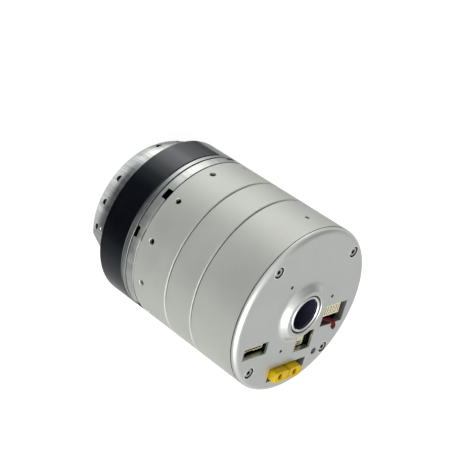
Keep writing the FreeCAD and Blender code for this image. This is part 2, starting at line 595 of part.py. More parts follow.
def race(name, r0, r1, centre, ball, z0, z1, outer):
    """Bearing ring with a ball groove; groove on the inside when outer is set."""
    zm, g = (z0 + z1) / 2, ball + 0.05
    edge = r0 if outer else r1
    dz = math.sqrt(g * g - (edge - centre) ** 2)
    if outer:
        return turned(name, [(r0, z0), (r1, z0), (r1, z1), (r0, z1), (r0, zm + dz, Size(-g, "(-%.6f)" % g)), (r0, zm - dz)])
    return turned(name, [(r0, z0), (r1, z0), (r1, zm - dz, Size(-g, "(-%.6f)" % g)), (r1, zm + dz), (r1, z1), (r0, z1)])


race("wave_bearing_inner_ring", 11.6, 12.85, 13.7, 1.0, 24.2, 27.4, False)
race("wave_bearing_outer_ring", 14.55, 15.3, 13.7, 1.0, 24.2, 27.4, True)
feature("wave_bearing_balls", Part.makeCompound([Part.makeSphere(1.0, polar(13.7, 360.0 * k / 22) + Vector(0, 0, 25.8)) for k in range(22)]))


def ring_pair(name, r0, r1, outer):
    parts = []
    for z0 in (V("front_race"), V("middle_race")):
        z1, zm, g, c = z0 + V("race_width"), z0 + V("race_width") / 2, 1.15, 11.95
        ring = tube(r0, r1, z0, z1)
        groove = Part.makeTorus(c, g, Vector(0, 0, zm))
        parts.append(ring.cut(groove))
    return feature(name, Part.makeCompound(parts))


ring_pair("rotor_bearing_outer_rings", 12.85, 14.5, True)
ring_pair("rotor_bearing_inner_rings", 9.4, 11.05, False)
feature("rotor_bearing_balls", Part.makeCompound([
    Part.makeSphere(1.1, polar(11.95, 360.0 * k / 18) + Vector(0, 0, z0 + V("race_width") / 2))
    for z0 in (V("front_race"), V("middle_race")) for k in range(18)]))

turned("rotor_yoke", [
    (D("rotor_tube"), 38.0), (13.2, 38.0), (13.2, 35.1), (14.9, 35.1), (14.9, 43.1), (13.2, 43.1), (13.2, 40.2), (D("rotor_tube"), 40.2)])
magnets = []
for k in range(14):
    a0 = 360.0 * k / 14
    span = 360.0 / 14 - 2.4
    outer_ring = tube(14.9, 16.4, V("stack_start"), V("stack_end"))
    wedge = [Vector(0, 0, 0), polar(30, a0 - span / 2), polar(30, a0 + span / 2), Vector(0, 0, 0)]
    cutter = Part.Face(Part.makePolygon(wedge)).extrude(Vector(0, 0, 60))
    magnets.append(outer_ring.common(cutter))
feature("rotor_magnets", Part.makeCompound(magnets))
turned("brake_hub", [(D("rotor_tube"), 58.4), (11.3, 58.4), (11.3, 60.5), (D("rotor_tube"), 60.5)])
turned("brake_friction_disc", [(11.3, 58.8), (23.0, 58.8), (23.0, 60.1), (11.3, 60.1)])
turned("motor_encoder_ring", [(D("rotor_tube"), 62.1), (14.0, 62.1), (14.0, 63.5), (D("rotor_tube"), 63.5)])

# ------------------------------------------------------------------ stator
core = new_body("stator_core")
sk = new_sketch(core, "stator_back_sketch", "XY_Plane", D("stack_start"))
circles(sk, [(0, 0, D("stator_outer")), (0, 0, 24.0)])
pad = core.newObject("PartDesign::Pad", "stator_back")
pad.Profile = sk
bind(pad, "Length", D("stack_end") - D("stack_start"))
core.Tip = pad
doc.recompute()
sk = new_sketch(core, "stator_tooth_sketch", "XY_Plane", D("stack_start"))
outline(sk, [(16.6, -3.7), (18.1, -3.4), (18.7, -1.5), (24.6, -1.5), (24.6, 1.5), (18.7, 1.5), (18.1, 3.4), (16.6, 3.7)])
pad = core.newObject("PartDesign::Pad", "stator_tooth")
pad.Profile = sk
bind(pad, "Length", D("stack_end") - D("stack_start"))
core.Tip = pad
doc.recompute()
fan = core.newObject("PartDesign::PolarPattern", "stator_teeth")
fan.Originals = [pad]
fan.Axis = (plane(core, "Z_Axis"), [""])
fan.Angle = 360
fan.Occurrences = 12
core.Tip = fan
doc.recompute()
pocket(core, "stator_bore", lambda sk: circles(sk, [(0, 0, D("stator_inner"))]))
coils = []
for k in range(12):
    outer_box = block(18.9, -3.2, V("stack_start") - 1.1, 23.5, 3.2, V("stack_end") + 1.1)
    outer_box = outer_box.makeFillet(1.1, [e for e in outer_box.Edges if abs(e.Vertexes[0].X - e.Vertexes[1].X) > 1])
    hole_box = block(18.0, -1.62, V("stack_start") - 0.12, 24.5, 1.62, V("stack_end") + 0.12)
    wedge = [Vector(0, 0, 0), polar(40, -13.6), polar(40, 13.6), Vector(0, 0, 0)]
    keep = Part.Face(Part.makePolygon(wedge)).extrude(Vector(0, 0, 60))
    coil = outer_box.cut(hole_box).common(keep)
    coils.append(coil.transformed(Placement(Vector(0, 0, 0), Rotation(Vector(0, 0, 1), 30.0 * k)).toMatrix()))
feature("stator_windings", Part.makeCompound(coils))

# ------------------------------------------------------------------ brake
coil_body = turned("brake_coil_body", [
    (10.8, D("middle_web_end")), (D("brake_bore") - 0.03, D("middle_web_end")), (D("brake_bore") - 0.03, 56.4), (21.0, 56.4), (21.0, 52.4), (14.2, 52.4), (14.2, 56.4), (10.8, 56.4)])
sp = pocket(coil_body, "spring_pocket", lambda sk: circles(sk, [(23.1, 0, 1.15)]), 56.4, 3.0, 30.0)
spread(coil_body, "spring_pockets", [sp], 6)
st = pocket(coil_body, "spacer_tap", lambda sk: circles(sk, [(24.75, 0, 0.55)]), 56.4, 3.0)
spread(coil_body, "spacer_taps", [st], 3)
turned("brake_coil", [(14.3, 52.45), (20.9, 52.45), (20.9, 55.9), (14.3, 55.9)])
turned("brake_armature", [(12.2, 56.7), (23.6, 56.7), (23.6, 58.1), (12.2, 58.1)])
pp = turned("brake_pressure_plate", [(12.2, 60.4), (25.9, 60.4), (25.9, 61.4), (12.2, 61.4)])
h0 = pocket(pp, "plate_screw_hole", lambda sk: circles(sk, [(24.75, 0, 0.6)]))
spread(pp, "plate_screw_holes", [h0], 3)
feature("brake_spacers", Part.makeCompound([
    tube(0.6, 1.0, 56.4, 60.4, *tuple(polar(24.75, 120 * k))[:2]) for k in range(3)]))
feature("brake_screws", Part.makeCompound([
    cap_head_screw(0.5, 1.0, 0.5, 0.9, 61.4, 7.6, *tuple(polar(24.75, 120 * k))[:2]) for k in range(3)]))
springs = []
for k in range(6):
    helix = Part.makeHelix(0.725, 2.9, 0.72)
    start = Part.Circle(Vector(0.72, 0, 0), Vector(0, 1, 0), 0.16)
    wire = Part.Wire([start.toShape()])
    coilw = Part.Wire(helix).makePipeShell([wire], True, True)
    coilw.translate(Vector(0, 0, 53.6))
    p = polar(23.1, 30 + 60 * k)
    coilw.translate(p)
    springs.append(coilw)
feature("brake_springs", Part.makeCompound(springs))

# ------------------------------------------------------------------ encoders and driver
bt = V("board_thickness")
ez, dz_ = V("encoder_board_z"), V("driver_board_z")
eb = new_body("encoder_board")
sk = new_sketch(eb, "encoder_board_sketch", "XY_Plane", D("encoder_board_z"))
circles(sk, [(0, 0, 24.6), (0, 0, 8.6)])
pad = eb.newObject("PartDesign::Pad", "encoder_board_pad")
pad.Profile = sk
bind(pad, "Length", D("board_thickness"))
eb.Tip = pad
doc.recompute()
h0 = pocket(eb, "encoder_board_hole", lambda sk: circles(sk, [(22.6, 0, 1.0)]), turn=55.0)
spread(eb, "encoder_board_holes", [h0], 3)
turned("output_encoder_ring", [(D("shaft_radius"), 66.35), (12.0, 66.35), (12.0, 67.7), (D("shaft_radius"), 67.7)])

db = new_body("driver_board")
sk = new_sketch(db, "driver_board_sketch", "XY_Plane", D("driver_board_z"))
circles(sk, [(0, 0, D("board_radius")), (0, 0, 8.4)])
pad = db.newObject("PartDesign::Pad", "driver_board_pad")
pad.Profile = sk
bind(pad, "Length", D("board_thickness"))
db.Tip = pad
doc.recompute()
corner = pocket(db, "boss_relief", lambda sk: outline(sk, [(23.5, -2.65), (30.0, -2.65), (30.0, 2.65), (23.5, 2.65)]), turn=45.0)
spread(db, "boss_reliefs", [corner], 4)
h0 = pocket(db, "driver_board_hole", lambda sk: circles(sk, [(22.6, 0, 1.0)]), turn=55.0)
spread(db, "driver_board_holes", [h0], 3)

standoffs, bolts = [], []
for k in range(3):
    p = polar(22.6, 55 + 120 * k)
    hexagon = [p + polar(1.9, 60 * i) for i in range(7)]
    post = Part.Face(Part.makePolygon(hexagon)).extrude(Vector(0, 0, dz_ - ez - bt))
    post.translate(Vector(0, 0, ez + bt))
    stud = cyl(0.9, ez - 2.0, ez + bt, p.x, p.y)
    post = post.fuse(stud).cut(cyl(0.95, dz_ - 1.7, dz_ + 1, p.x, p.y)).removeSplitter()
    standoffs.append(post)
    bolts.append(cap_head_screw(0.9, 1.6, 1.1, 1.3, dz_ + bt, 2.6, p.x, p.y))
feature("board_standoffs", Part.makeCompound(standoffs))
feature("board_screws", Part.makeCompound(bolts))
chips = []
for k in range(6):
    chip = block(15.2, -1.65, dz_ - 0.9, 18.5, 1.65, dz_)
    chips.append(chip.transformed(Placement(Vector(0, 0, 0), Rotation(Vector(0, 0, 1), 60.0 * k)).toMatrix()))
top_z = dz_ + bt
chips.append(block(-3.5, 12.0, top_z, 3.5, 19.0, top_z + 1.0))
chips.append(block(-14.5, 5.0, top_z, -9.5, 10.0, top_z + 0.9))
for x in (8.0, 11.0, 14.0):
    chips.append(cyl(1.3, top_z, top_z + 3.4, x, 11.5))
chips += [block(10.0, -1.5, ez - 0.65, 13.0, 1.5, ez), block(-11.5, -1.5, ez + bt, -8.9, 1.5, ez + bt + 0.35)]
feature("board_components", Part.makeCompound(chips))

# ------------------------------------------------------------------ connectors behind the cap
# Two-pole power connector: two lobes with a waist, one end bevelled, standing out of the cap.
pz0, pz1 = top_z, 78.2
pwr = new_body("power_connector")
sk = new_sketch(pwr, "power_outline", "XY_Plane", pz0)
x0, x1, y0, y1, w_, g_ = -6.75, 7.4, -25.25, -20.75, 0.5, 0.45
outline(sk, [(x0 + 0.9, y0), (-w_ - 0.3, y0), (-w_ + 0.1, y0 + g_), (w_ + 0.1, y0 + g_), (w_ + 0.5, y0), (x1 - 1.5, y0), (x1, y0 + 1.35),
             (x1, y1 - 1.1), (x1 - 1.3, y1), (w_ + 0.5, y1), (w_ + 0.1, y1 - g_), (-w_ + 0.1, y1 - g_), (-w_ - 0.3, y1), (x0 + 0.9, y1),
             (x0, y1 - 0.9), (x0, y0 + 0.9)])
pad = pwr.newObject("PartDesign::Pad", "power_block")
pad.Profile = sk
bind(pad, "Length", pz1 - pz0)
pwr.Tip = pad
doc.recompute()
ym = (y0 + y1) / 2
pocket(pwr, "socket_bores", lambda sk: circles(sk, [(-3.6, ym, 1.5), (3.6, ym, 1.5)]), pz1, 6.5)
feature("power_contacts", Part.makeCompound([
    cyl(1.3, pz1 - 6.5, pz1 - 0.9, x, ym).cut(cyl(0.95, pz1 - 5.0, pz1, x, ym)).cut(
        block(x - 0.12, ym - 2, pz1 - 4.0, x + 0.12, ym + 2, pz1)) for x in (-3.6, 3.6)]))
inlet = block(-9.4, -26.3, 72.75, 12.2, -18.4, 73.85).common(cyl(25.75, 70, 76))
inlet = inlet.cut(block(x0 - 0.15, y0 - 0.15, 70, x1 + 0.15, y1 + 0.15, 76))
feature("inlet_board", inlet)


def header(name, bx0, by0, bx1, by1, zt):
    body = new_body(name)
    sk = new_sketch(body, name + "_outline", "XY_Plane", top_z)
    outline(sk, [(bx0, by0), (bx1, by0), (bx1, by1), (bx0, by1)])
    pad = body.newObject("PartDesign::Pad", name + "_block")
    pad.Profile = sk
    bind(pad, "Length", zt - top_z)
    body.Tip = pad
    doc.recompute()
    return body


def pin_row(xs, y, z0, z1, half=0.2):
    return [block(x - half, y - half, z0, x + half, y + half, z1) for x in xs]


# Six-way header: solid nose with one long contact slot and a key step on its lower side.
bus = header("bus_connector", -23.9, -10.95, -13.5, -7.4, 73.75)
pocket(bus, "bus_slot", rect(-22.9, -9.75, -14.4, -9.05), 73.75, 3.2)
pocket(bus, "bus_key", rect(-20.1, -11.2, -17.1, -10.6), 73.75, 1.6)
pins = pin_row([-18.6 + 1.25 * (k - 2.5) for k in range(6)], -9.4, 70.55, 73.2, 0.18)
aux = header("aux_connector", 2.6, -15.2, 8.2, -10.9, 73.75)
pocket(aux, "aux_slot", rect(3.3, -13.25, 7.5, -12.55), 73.75, 3.2)
pocket(aux, "aux_latch", rect(3.3, -14.45, 7.5, -14.15), 73.75, 1.0)
pins += pin_row([4.4, 6.4], -12.9, 70.55, 73.2, 0.2)

# Three-way option header and its red jumper.
opt = new_body("option_header")
sk = new_sketch(opt, "option_outline", "XY_Plane", top_z)
outline(sk, [(13.3, -6.1), (22.9, -6.1), (22.9, -1.5), (13.3, -1.5)])
pad = opt.newObject("PartDesign::Pad", "option_block")
pad.Profile = sk
bind(pad, "Length", 75.4 - top_z)
opt.Tip = pad
doc.recompute()
pocket(opt, "option_gaps", rect(16.3, -6.4, 16.65, -1.2), 75.4, 1.2)
pocket(opt, "option_gaps_two", rect(19.5, -6.4, 19.85, -1.2), 75.4, 1.2)
for k, x in enumerate((14.8, 18.1, 21.4)):
    pocket(opt, "option_way_%d" % k, rect(x - 0.75, -4.9, x + 0.75, -2.6), 75.4, 4.6)
pins += pin_row((14.8, 18.1, 21.4), -3.75, 70.8, 74.6, 0.25)
feature("connector_pins", Part.makeCompound(pins))
# The jumper is a thick red insulated link: it comes up out of the window and hooks over its lower edge.
def link(points, radius):
    curve = Part.BSplineCurve()
    curve.interpolate([Vector(*q) for q in points])
    spine = Part.Wire([curve.toShape()])
    along = curve.tangent(curve.FirstParameter)[0]
    ring = Part.Wire([Part.Circle(Vector(*points[0]), along, radius).toShape()])
    return spine.makePipeShell([ring], True, True)


feature("option_jumper", link([(13.9, -7.45, 72.6), (14.9, -7.4, 74.0), (16.3, -7.35, 75.1), (17.7, -7.5, 75.95), (18.6, -8.1, 76.75),
                               (18.8, -9.1, 77.25), (18.6, -10.1, 77.05)], 0.72))

pipe = cyl(1.15, top_z, 75.3, V("light_x"), -V("light_y")).fuse(
    Part.makeSphere(1.5, Vector(V("light_x"), -V("light_y"), 75.3 - 0.95)).common(cyl(1.15, 75.3, 77, V("light_x"), -V("light_y"))))
feature("status_light_pipe", pipe.removeSplitter())

# ------------------------------------------------------------------ checks and output
doc.recompute()
bad = [o.Name for o in doc.Objects if any(k in ("Invalid", "Error") for k in o.State)]
if bad:
    raise RuntimeError("failed objects: %s" % bad)
nodes = [o for o in doc.Objects if o.TypeId in ("PartDesign::Body", "Part::Feature")
         and not (o.TypeId == "Part::Feature" and o.getParentGeoFeatureGroup())]
os.makedirs("parts", exist_ok=True)
for old in os.listdir("parts"):
    if old.endswith(".step"):
        os.remove(os.path.join("parts", old))
for o in nodes:
    shape = o.Shape
    if shape.isNull() or not shape.isValid() or not shape.Solids:
        raise RuntimeError("bad shape: %s" % o.Label)
    shape.exportStep(os.path.join("parts", o.Label + ".step"))
    print("%-28s %-20s solids %3d  volume %10.2f" % (o.Label, o.TypeId, len(shape.Solids), shape.Volume))
print(len(nodes), "nodes")
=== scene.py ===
import json
import math
import bmesh
import bpy
from mathutils import Matrix, Vector


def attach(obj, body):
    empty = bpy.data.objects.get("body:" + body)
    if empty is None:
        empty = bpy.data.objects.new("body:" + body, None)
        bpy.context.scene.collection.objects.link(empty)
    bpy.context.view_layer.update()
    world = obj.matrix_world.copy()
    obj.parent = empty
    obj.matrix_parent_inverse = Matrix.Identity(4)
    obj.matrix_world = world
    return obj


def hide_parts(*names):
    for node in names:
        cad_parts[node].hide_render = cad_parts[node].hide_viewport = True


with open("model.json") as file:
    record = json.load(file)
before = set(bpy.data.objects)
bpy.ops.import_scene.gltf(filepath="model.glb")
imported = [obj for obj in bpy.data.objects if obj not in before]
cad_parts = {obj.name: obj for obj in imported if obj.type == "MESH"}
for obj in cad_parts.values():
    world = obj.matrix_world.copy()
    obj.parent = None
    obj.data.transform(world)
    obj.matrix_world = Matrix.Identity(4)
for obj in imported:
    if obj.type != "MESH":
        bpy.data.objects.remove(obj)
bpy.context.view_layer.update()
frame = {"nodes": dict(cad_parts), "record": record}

nodes = frame["nodes"]
scene = bpy.context.scene


# ---------------------------------------------------------------- camera
cam_data = bpy.data.cameras.new("photo_camera")
cam_data.sensor_width = 36.0
cam_data.sensor_fit = "HORIZONTAL"
cam_data.lens = 93.94
cam_data.clip_start = 0.01
cam_data.clip_end = 50.0
cam = bpy.data.objects.new("photo_camera", cam_data)
scene.collection.objects.link(cam)
right = Vector((0.67941, 0.24421, 0.69193)).normalized()
back = Vector((-0.71629, 0.42530, 0.55322)).normalized()
up = back.cross(right).normalized()
right = up.cross(back).normalized()
cam.matrix_world = Matrix((
    (right.x, up.x, back.x, -0.28742),
    (right.y, up.y, back.y, 0.18110),
    (right.z, up.z, back.z, 0.26086),
    (0, 0, 0, 1)))
scene.camera = cam


# ---------------------------------------------------------------- node helpers
class Mat:
    """A small wrapper that builds a node material."""

    def __init__(self, name):
        self.m = bpy.data.materials.new(name)
        self.m.use_nodes = True
        self.t = self.m.node_tree
        self.t.nodes.clear()
        self.out = self.t.nodes.new("ShaderNodeOutputMaterial")
        self.b = self.t.nodes.new("ShaderNodeBsdfPrincipled")
        self.link(self.b.outputs[0], self.out.inputs["Surface"])
        self._obj = None
        self._geo = None

    def node(self, kind, **settings):
        n = self.t.nodes.new("ShaderNode" + kind)
        inputs = settings.pop("inputs", {})
        for k, v in settings.items():
            setattr(n, k, v)
        for k, v in inputs.items():
            n.inputs[k].default_value = v
        return n

    def link(self, a, b):
        self.t.links.new(a, b)

    def set(self, **values):
        for k, v in values.items():
            self.b.inputs[k.replace("_", " ")].default_value = v
        return self

    def coords(self):
        """Object coordinates in metres: a node's object sits at the origin of the part."""
        if self._obj is None:
            self._obj = self.node("TexCoord")
        return self._obj.outputs["Object"]

    def split(self):
        s = self.node("SeparateXYZ")
        self.link(self.coords(), s.inputs[0])
        return s

    def math(self, op, a, b=None, c=None, clamp=False):
        n = self.node("Math", operation=op, use_clamp=clamp)
        for i, v in enumerate((a, b, c)):
            if v is None:
                continue
            if hasattr(v, "is_linked") or hasattr(v, "links"):
                self.link(v, n.inputs[i])
            else:
                n.inputs[i].default_value = v
        return n.outputs[0]

    def polar(self):
        """(radius, angle, height) about the joint axis, radius and height in metres."""
        s = self.split()
        x, y, z = s.outputs
        r = self.math("SQRT", self.math("ADD", self.math("MULTIPLY", x, x), self.math("MULTIPLY", y, y)))
        a = self.math("ARCTAN2", y, x)
        return r, a, z

    def vector(self, x, y, z):
        c = self.node("CombineXYZ")
        for i, v in enumerate((x, y, z)):
            if hasattr(v, "links"):
                self.link(v, c.inputs[i])
            else:
                c.inputs[i].default_value = v
        return c.outputs[0]

    def noise(self, vector, scale, detail=3.0, rough=0.55, distortion=0.0):
        n = self.node("TexNoise", inputs={"Scale": scale, "Detail": detail, "Roughness": rough, "Distortion": distortion})
        self.link(vector, n.inputs["Vector"])
        return n.outputs[0]

    def remap(self, value, a, b, c, d, clamp=True):
        n = self.node("MapRange", clamp=clamp)
        for i, v in zip((1, 2, 3, 4), (a, b, c, d)):
            n.inputs[i].default_value = v
        self.link(value, n.inputs[0])
        return n.outputs[0]

    def ramp(self, value, stops, mode="LINEAR"):
        n = self.node("ValToRGB")
        n.color_ramp.interpolation = mode
        el = n.color_ramp.elements
        while len(el) < len(stops):
            el.new(0.5)
        for e, (p, c) in zip(el, stops):
            e.position = p
            e.color = (c[0], c[1], c[2], 1) if len(c) == 3 else c
        self.link(value, n.inputs[0])
        return n.outputs[0]

    def mix(self, fac, a, b, blend="MIX"):
        n = self.node("Mix", data_type="RGBA", blend_type=blend)
        for sock, v in ((n.inputs["Factor"], fac), (n.inputs[6], a), (n.inputs[7], b)):
            if hasattr(v, "links"):
                self.link(v, sock)
            elif isinstance(v, (int, float)):
                sock.default_value = v
            else:
                sock.default_value = (v[0], v[1], v[2], 1)
        return n.outputs[2]

    def inside(self, value, a, b, soft=0.00004):
        """1 where the value lies between a and b, 0 outside."""
        return self.math("MULTIPLY", self.remap(value, a - soft, a, 0.0, 1.0), self.remap(value, b, b + soft, 1.0, 0.0))

    def both(self, a, b):
        return self.math("MULTIPLY", a, b)

    def either(self, a, b):
        return self.math("MAXIMUM", a, b)

    def near(self, points, radius, soft=0.00004):
        """1 within a radius of any of the (x, y) points."""
        x, y, z = self.split().outputs
        x, y = (self.math("ABSOLUTE", v) for v in (x, y)) if points == "four" else (x, y)
        out = None
        for px, py in ([SCREW] if points == "four" else points):
            dx, dy = self.math("SUBTRACT", x, px), self.math("SUBTRACT", y, py)
            d = self.math("SQRT", self.math("ADD", self.math("MULTIPLY", dx, dx), self.math("MULTIPLY", dy, dy)))
            hit = self.remap(d, radius, radius + soft, 1.0, 0.0)
            out = hit if out is None else self.either(out, hit)
        return out

    def color(self, socket):
        self.link(socket, self.b.inputs["Base Color"])
        return self

    def rough(self, socket):
        self.link(socket, self.b.inputs["Roughness"])
        return self

    def bump(self, height, strength, distance):
        n = self.node("Bump", inputs={"Strength": strength, "Distance": distance})
        self.link(height, n.inputs["Height"])
        self.link(n.outputs[0], self.b.inputs["Normal"])
        return n

    def bump2(self, h1, s1, d1, h2, s2, d2):
        a = self.node("Bump", inputs={"Strength": s1, "Distance": d1})
        self.link(h1, a.inputs["Height"])
        b = self.node("Bump", inputs={"Strength": s2, "Distance": d2})
        self.link(h2, b.inputs["Height"])
        self.link(a.outputs[0], b.inputs["Normal"])
        self.link(b.outputs[0], self.b.inputs["Normal"])


def lin(r, g, b):
    """8-bit screen colour to linear."""
    def f(v):
        v /= 255.0
        return v / 12.92 if v <= 0.04045 else ((v + 0.055) / 1.055) ** 2.4
    return (f(r), f(g), f(b))


M = {}
MM = 0.001
SCREW = (18.55 * MM, 18.55 * MM)


def blasted(name, base, warm, rough=(0.54, 0.62), colour_and_painted_light=None, metallic=0.85):
    """Bead-blasted, clear-anodised aluminium: fine grain, faint cloudiness."""
    m = Mat(name)
    c = m.coords()
    fine = m.noise(c, 5200.0, 2.0, 0.6)
    cloud = m.noise(c, 60.0, 4.0, 0.6)
    speck = m.noise(c, 2400.0, 1.0, 0.5)
    col = m.mix(m.remap(cloud, 0.35, 0.65, 0.0, 1.0), base, warm)
    col = m.mix(m.remap(speck, 0.3, 0.7, 0.0, 0.10), col, (0.35, 0.36, 0.34))
    gloss = m.remap(cloud, 0.3, 0.7, rough[0], rough[1])
    # the hook passed in adds the part's own colour detail and its painted shade and highlights
    if colour_and_painted_light:
        col, gloss = colour_and_painted_light(m, col, gloss)
    m.color(col)
    m.rough(gloss)
    m.set(Metallic=metallic)
    m.bump(fine, 0.35, 0.00003)
    return m.m


def barrel_painted_edges(m, col, gloss):
    """Machined chamfers beside the seams, painted darker on their front side; painted shade in the recesses behind
    them, on the floors of the side holes, along the joint with the lid and at the front edge of the housing; a painted
    highlight on the walls of the side holes near their mouths.
    """
    r, a, z = m.polar()
    rear = m.inside(z, 35.0 * MM, 75.0 * MM)
    cut = m.both(m.inside(r, 29.58 * MM, 29.95 * MM, 0.00002), rear)
    shaded_front_side = m.either(m.inside(z, 42.6 * MM, 43.42 * MM, 0.00003), m.inside(z, 54.7 * MM, 55.52 * MM, 0.00003))
    gap_shade = m.both(m.inside(r, 26.9 * MM, 29.56 * MM, 0.00002), rear)
    painted_hole = m.both(m.inside(r, 26.9 * MM, 29.75 * MM, 0.00002), m.inside(z, 30.0 * MM, 34.0 * MM))
    floor = m.both(m.inside(r, 26.9 * MM, 28.75 * MM, 0.00020), m.inside(z, 30.0 * MM, 34.0 * MM))
    lip_shade = m.inside(z, 73.90 * MM, 74.05 * MM, 0.00002)
    # painted shade: the chamfer on the front side of the seams is darker than the rest
    col = m.mix(cut, col, m.mix(shaded_front_side, (0.30, 0.305, 0.29), (0.62, 0.63, 0.60)))
    nose_shade = m.inside(z, 27.0 * MM, 27.93 * MM, 0.00002)
    # painted shade: a dark band along the front edge of the housing, where its chamfer would reflect
    col = m.mix(nose_shade, col, (0.16, 0.165, 0.155))
    # painted highlight: the walls of the side holes are bright near their mouths
    col = m.mix(painted_hole, col, (0.80, 0.82, 0.79))
    # painted shade: the recesses behind the seams, the floors of the side holes and the joint with the lid are near
    # black
    col = m.mix(m.either(gap_shade, m.either(floor, lip_shade)), col, (0.03, 0.03, 0.027))
    return col, m.math("ADD", gloss, m.math("MULTIPLY", painted_hole, -0.12))


def cap_painted_edges(m, col, gloss):
    """The lid was turned after blasting: its edge is smooth. Painted shade darkens the joint with the barrel, the walls
    of its windows and recesses the lower they lie, the end walls of two windows, the counterbores and the dimples; a
    painted highlight brightens the counterbore rims.
    """
    r, a, z = m.polar()
    seam_shade = m.both(m.inside(z, 73.9 * MM, 74.16 * MM, 0.00002), m.inside(r, 29.0 * MM, 31.0 * MM))
    inner = m.inside(r, 0.0, 28.0 * MM)
    depth = m.both(inner, m.remap(z, 75.9 * MM, 74.2 * MM, 0.0, 0.72))
    counterbore_shade = m.both(m.near("four", 1.98 * MM), m.inside(z, 70.0 * MM, 75.93 * MM))
    dimple_shade = m.both(m.inside(r, 14.0 * MM, 15.5 * MM), m.inside(z, 70.0 * MM, 75.8 * MM))
    rim_highlight = m.both(m.near("four", 2.22 * MM), m.inside(z, 75.97 * MM, 76.2 * MM))
    x, y, zz = m.split().outputs
    # painted shade: walls below the lid's face darken the lower they lie
    col = m.mix(depth, col, (0.30, 0.30, 0.22))
    # painted shade: the end walls of the bus and aux windows are near black
    window_end_shade = m.either(m.both(m.inside(x, -13.1 * MM, -12.7 * MM), m.inside(y, -12.6 * MM, -7.8 * MM)),
                    m.both(m.inside(x, 10.2 * MM, 10.6 * MM), m.inside(y, -16.5 * MM, -9.0 * MM)))
    col = m.mix(m.both(window_end_shade, m.inside(z, 73.0 * MM, 75.15 * MM, 0.0001)), col, (0.008, 0.008, 0.016))
    # painted highlight: a bright ring round each counterbore
    col = m.mix(rim_highlight, col, (0.95, 0.95, 0.94))
    # painted shade: the counterbores near black, the dimples nearly so
    col = m.mix(m.either(counterbore_shade, m.math("MULTIPLY", dimple_shade, 0.75)), col, (0.012, 0.012, 0.012))
    # painted shade: a dark line at the joint with the barrel
    col = m.mix(seam_shade, col, (0.04, 0.04, 0.035))
    return col, gloss


M["bead_blasted_aluminium"] = blasted("bead_blasted_aluminium", (0.60, 0.615, 0.58), (0.63, 0.64, 0.605), colour_and_painted_light=barrel_painted_edges)
CAP = blasted("turned_blasted_lid", (0.60, 0.625, 0.605), (0.63, 0.65, 0.63), (0.27, 0.34), cap_painted_edges)


def turned(name, base, dark, lay=1600.0, rough=(0.24, 0.36), aniso=0.75, contrast=1.0, painted_glint=0.0, colour_and_painted_light=None):
    """Fine-turned metal: tool marks run round the joint axis, so the gloss is drawn out across them. Optional painted
    sheen: dark streaks that change round the axis stand in for glints on the tool marks.
    """
    m = Mat(name)
    r, a, z = m.polar()
    ring = m.vector(r, m.math("MULTIPLY", a, 0.0012), z)
    marks = m.noise(ring, lay, 2.0, 0.6)
    broad = m.noise(ring, lay / 5.0, 2.0, 0.5)
    cloud = m.noise(m.coords(), 90.0, 3.0, 0.6)
    col = m.mix(m.remap(marks, 0.30, 0.70, 0.0, contrast), base, dark)
    if painted_glint:
        # painted sheen: dark streaks round the axis, kept off surfaces lower than half a millimetre
        x, y, zz = m.split().outputs
        fan = m.vector(m.math("DIVIDE", x, r), m.math("DIVIDE", y, r), m.math("MULTIPLY", z, 0.5))
        fine = m.noise(fan, 9.0, 5.0, 0.62)
        side = m.remap(z, 0.2 * MM, 0.5 * MM, 0.0, 1.0)
        col = m.mix(m.both(side, m.remap(fine, 0.36, 0.66, 0.0, painted_glint)), col, (0.22, 0.24, 0.23))
    gloss = m.math("ADD", m.remap(broad, 0.3, 0.7, rough[0], rough[1]), m.remap(cloud, 0.3, 0.7, -0.03, 0.03))
    if colour_and_painted_light:
        col, gloss = colour_and_painted_light(m, col, gloss)
    m.color(col)
    m.rough(gloss)
    m.set(Metallic=1.0, Anisotropic=aniso, Anisotropic_Rotation=0.25)
    tan = m.node("Tangent", direction_type="RADIAL", axis="Z")
    m.link(tan.outputs[0], m.b.inputs["Tangent"])
    return m.m


def notch_shadow(m, col, gloss):
    r, a, z = m.polar()
    # painted shade: the ring's edge bands are dark, its notches and inner faces black
    edge = m.either(m.inside(z, 23.0 * MM, 24.17 * MM, 0.00002), m.inside(z, 27.43 * MM, 29.0 * MM, 0.00002))
    box = m.inside(r, 16.0 * MM, 29.96 * MM, 0.00001)
    places = []
    for middle in (45.0, 75.0):
        swing = m.math("COSINE", m.math("MULTIPLY", m.math("SUBTRACT", a, math.radians(middle)), 4.0))
        places.append(m.remap(swing, 0.955, 0.962, 0.0, 1.0))
    notch = m.both(box, m.either(places[0], places[1]))
    col = m.mix(edge, col, (0.16, 0.165, 0.16))
    return m.mix(m.either(notch, m.inside(r, 16.0 * MM, 29.4 * MM)), col, (0.002, 0.002, 0.002)), gloss


def thin_ring_edge_shade(m, col, gloss):
    r, a, z = m.polar()
    # painted shade: a dark band along the ring's front edge, its inner face black
    col = m.mix(m.inside(z, 23.53 * MM, 24.4 * MM, 0.00002), col, (0.10, 0.10, 0.10))
    return m.mix(m.both(m.inside(z, 23.6 * MM, 24.4 * MM), m.inside(r, 16.0 * MM, 29.4 * MM)), col, (0.002, 0.002, 0.002)), gloss


